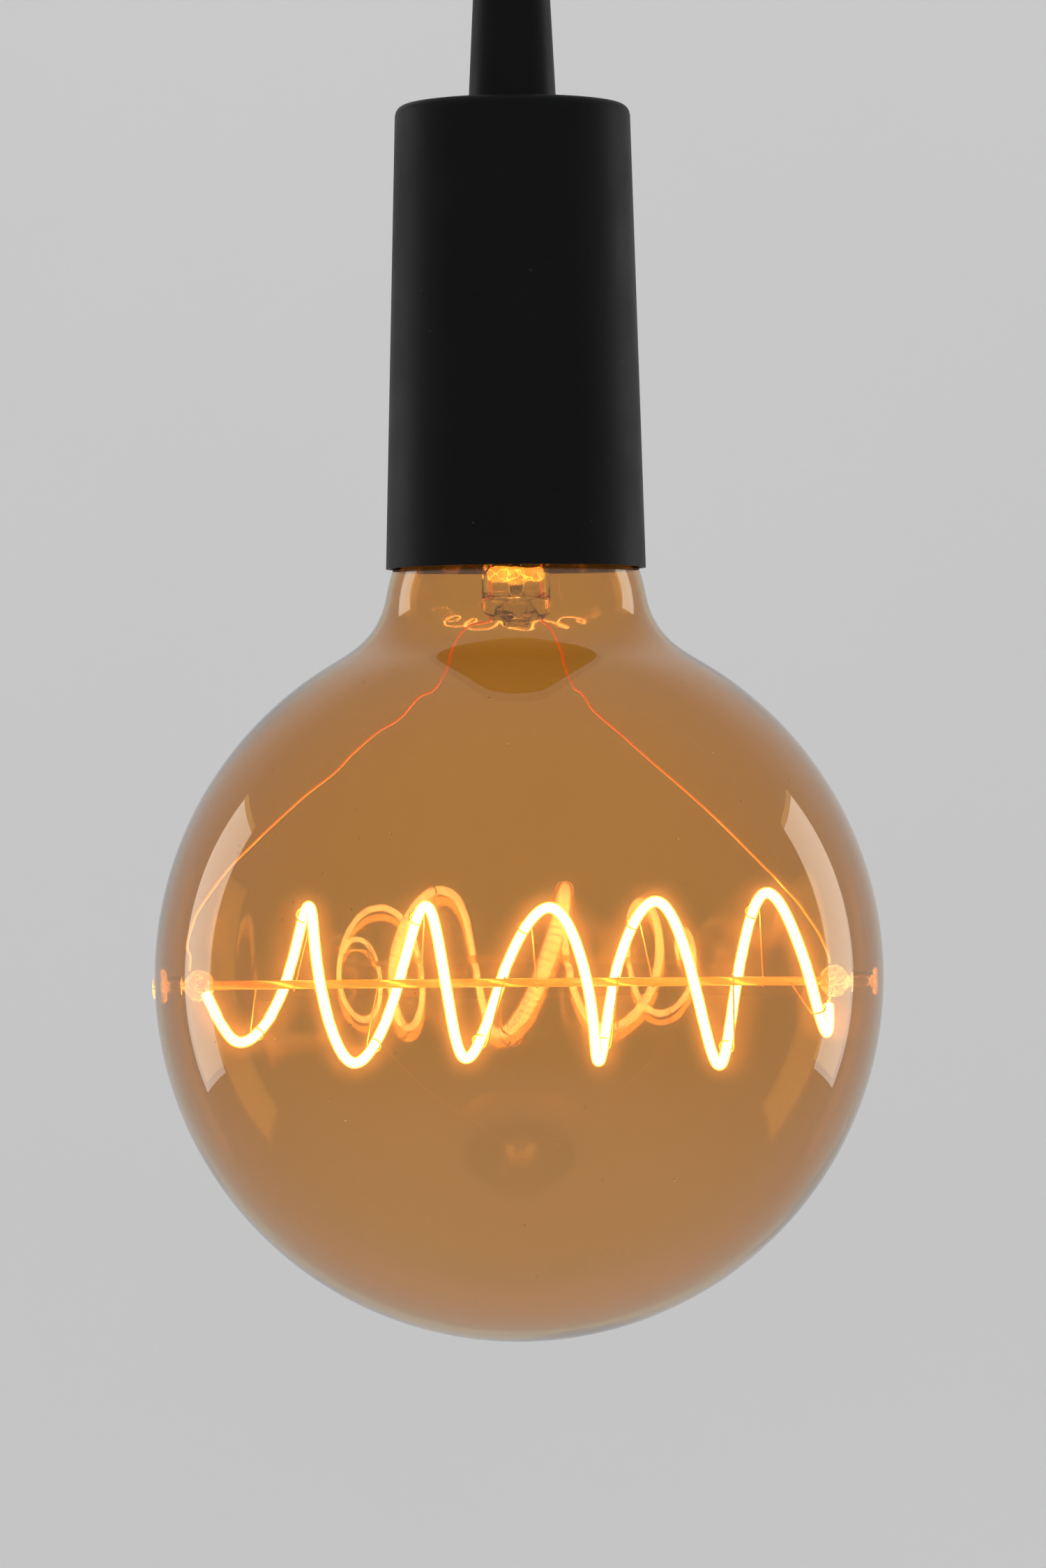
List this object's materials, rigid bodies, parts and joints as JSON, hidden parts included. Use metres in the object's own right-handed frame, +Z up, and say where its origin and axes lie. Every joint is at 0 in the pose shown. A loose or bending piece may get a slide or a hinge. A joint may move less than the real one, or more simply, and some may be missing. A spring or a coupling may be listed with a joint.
{
  "type": "led filament bulb",
  "caption": "Globe lamp with a light filament wound round a glass rod, screwed into a slim pendant lampholder with a tapered cord spigot.",
  "frame": {"origin": "mouth of the cord's bore, on top of the lampholder's spigot", "axes": "+Z up along the lamp's axis, out of the cord's bore; +X along the glass rod towards its right end in the picture; -Y towards the viewer of the picture"},
  "size_m": [0.1255, 0.125, 0.2439],
  "materials": {
    "holder_black": "matte black, slightly rubbery",
    "spigot_black": "matte black, slightly rubbery",
    "plated_steel": "zinc plated",
    "insert_plastic": "satin moulded",
    "porcelain": "glazed",
    "brass": "stamped",
    "cap_metal": "rolled, satin",
    "cap_insulator": "black vitrite",
    "cement": "baked cement",
    "board": "lacquered",
    "capacitor_sleeve": "shrink sleeve",
    "chip_black": "moulded epoxy",
    "resistor_body": "lacquered",
    "amber_glass": "clear, gold tinted, polished",
    "stem_glass": "clear, flame polished",
    "copper_wire": "copper sheathed",
    "bead_glass": "melted bead",
    "rod_glass": "clear, flame polished",
    "filament_glow": "soft phosphor coating, lit",
    "anchor_metal": "fine bare wire"
  },
  "bodies": {
    "lampholder": {"holder_cover": "holder_black", "cord_spigot": "spigot_black", "entry_nipple": "plated_steel", "nipple_nut": "plated_steel", "insert_cap": "insert_plastic", "insert_barrel": "insert_plastic", "contact_block": "porcelain", "socket_shell": "brass", "leaf_foot": "brass", "leaf_rivet": "plated_steel", "shell_rivet": "plated_steel", "terminal_live": "brass", "terminal_neutral": "brass", "terminal_screws": "plated_steel"},
    "sprung_leaf": {"contact_leaf": "brass"},
    "lamp_tip": {"tip_contact": "plated_steel"},
    "lamp": {"cap_shell": "cap_metal", "cap_insulator": "cap_insulator", "cap_cement": "cement", "driver_board": "board", "driver_capacitor": "capacitor_sleeve", "driver_chip": "chip_black", "driver_resistor": "resistor_body", "glass_envelope": "amber_glass", "stem_flare": "stem_glass", "exhaust_tube": "stem_glass", "lead_wire_left": "copper_wire", "lead_wire_right": "copper_wire", "bead_left": "bead_glass", "bead_right": "bead_glass", "end_stub_left": "stem_glass", "end_stub_right": "stem_glass", "support_rod": "rod_glass", "led_filament": "filament_glow", "filament_tab_left": "copper_wire", "filament_tab_right": "copper_wire", "anchor_wire_1": "anchor_metal", "anchor_wire_2": "anchor_metal", "anchor_wire_3": "anchor_metal", "anchor_wire_4": "anchor_metal", "anchor_wire_5": "anchor_metal", "anchor_wire_6": "anchor_metal", "anchor_wire_7": "anchor_metal", "anchor_wire_8": "anchor_metal", "anchor_wire_9": "anchor_metal", "anchor_wire_10": "anchor_metal", "anchor_wire_11": "anchor_metal"}
  },
  "joints": [
    {"name": "lamp_travel", "type": "slide", "parent": "lampholder", "child": "lamp_tip", "axis": [0, 0, -1], "range_m": [0, 0.0182]},
    {"name": "lamp_turn", "type": "hinge", "parent": "lamp_tip", "child": "lamp", "pos_m": [0, 0, 0], "axis": [0, 0, -1], "range_deg": [0, 1800]},
    {"name": "leaf_flex", "type": "hinge", "parent": "lampholder", "child": "sprung_leaf", "pos_m": [-0.0072, 0, -0.06465], "axis": [0, -1, 0], "range_deg": [0, 8], "stiffness_Nm_per_rad": 0.2, "springref_deg": -5.73}
  ],
  "couplings": [
    {"joint": "lamp_travel", "follows": "lamp_turn", "m_per_rad": 0.00057757}
  ]
}
